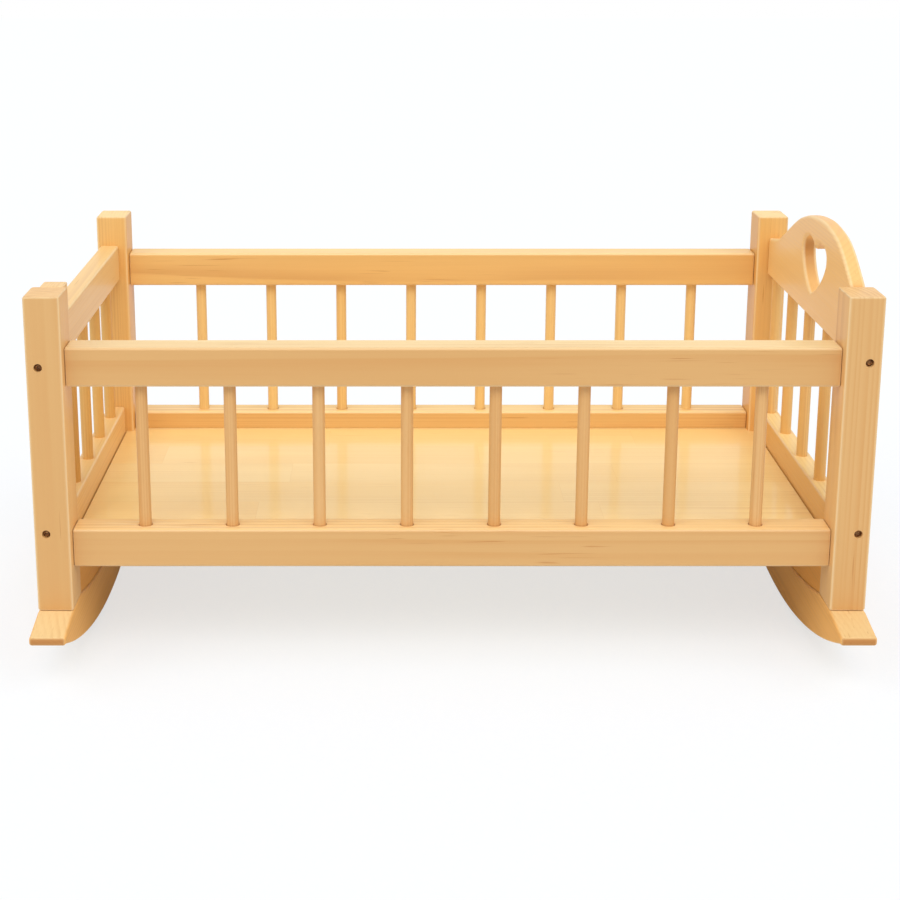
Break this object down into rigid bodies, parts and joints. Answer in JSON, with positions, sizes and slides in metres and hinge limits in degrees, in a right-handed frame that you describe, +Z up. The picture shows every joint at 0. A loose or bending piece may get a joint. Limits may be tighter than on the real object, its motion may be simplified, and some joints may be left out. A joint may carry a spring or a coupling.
{
  "type": "rocking doll cradle",
  "caption": "Wooden rocking cradle for a doll: railed sides and foot on curved rockers, and an arched headboard with a heart-shaped cut-out.",
  "frame": {"origin": "on the floor under the middle of the cradle, at the bottom centre of its bounding box", "axes": "+X along the cradle to the head end with the headboard, +Y across it to the back side, +Z up"},
  "size_m": [0.5382, 0.359, 0.2838],
  "materials": {
    "post_and_rail_pine": "clear satin lacquer",
    "spindle_pine": "clear satin lacquer",
    "end_pine": "clear satin lacquer",
    "panel_pine": "clear satin lacquer on glued strips",
    "rocker_pine": "clear satin lacquer",
    "screw_steel": "bronzed"
  },
  "bodies": {
    "root": {"foot_front_post": "post_and_rail_pine", "head_front_post": "post_and_rail_pine", "foot_back_post": "post_and_rail_pine", "head_back_post": "post_and_rail_pine", "front_upper_rail": "post_and_rail_pine", "front_lower_rail": "post_and_rail_pine", "back_upper_rail": "post_and_rail_pine", "back_lower_rail": "post_and_rail_pine", "front_spindle_1": "spindle_pine", "front_spindle_2": "spindle_pine", "front_spindle_3": "spindle_pine", "front_spindle_4": "spindle_pine", "front_spindle_5": "spindle_pine", "front_spindle_6": "spindle_pine", "front_spindle_7": "spindle_pine", "front_spindle_8": "spindle_pine", "back_spindle_1": "spindle_pine", "back_spindle_2": "spindle_pine", "back_spindle_3": "spindle_pine", "back_spindle_4": "spindle_pine", "back_spindle_5": "spindle_pine", "back_spindle_6": "spindle_pine", "back_spindle_7": "spindle_pine", "back_spindle_8": "spindle_pine", "foot_spindle_1": "spindle_pine", "foot_spindle_2": "spindle_pine", "foot_spindle_3": "spindle_pine", "foot_spindle_4": "spindle_pine", "foot_spindle_5": "spindle_pine", "head_spindle_1": "spindle_pine", "head_spindle_2": "spindle_pine", "head_spindle_3": "spindle_pine", "head_spindle_4": "spindle_pine", "head_spindle_5": "spindle_pine", "foot_top_rail": "end_pine", "foot_bottom_rail": "end_pine", "head_bottom_rail": "end_pine", "headboard": "end_pine", "foot_corner_block": "end_pine", "base_panel": "panel_pine", "foot_rocker": "rocker_pine", "head_rocker": "rocker_pine", "foot_apron": "rocker_pine", "head_apron": "rocker_pine", "screw_foot_front_upper": "screw_steel", "screw_foot_front_lower": "screw_steel", "screw_foot_back_upper": "screw_steel", "screw_foot_back_lower": "screw_steel", "screw_head_front_upper": "screw_steel", "screw_head_front_lower": "screw_steel", "screw_head_back_upper": "screw_steel", "screw_head_back_lower": "screw_steel"}
  },
  "joints": []
}
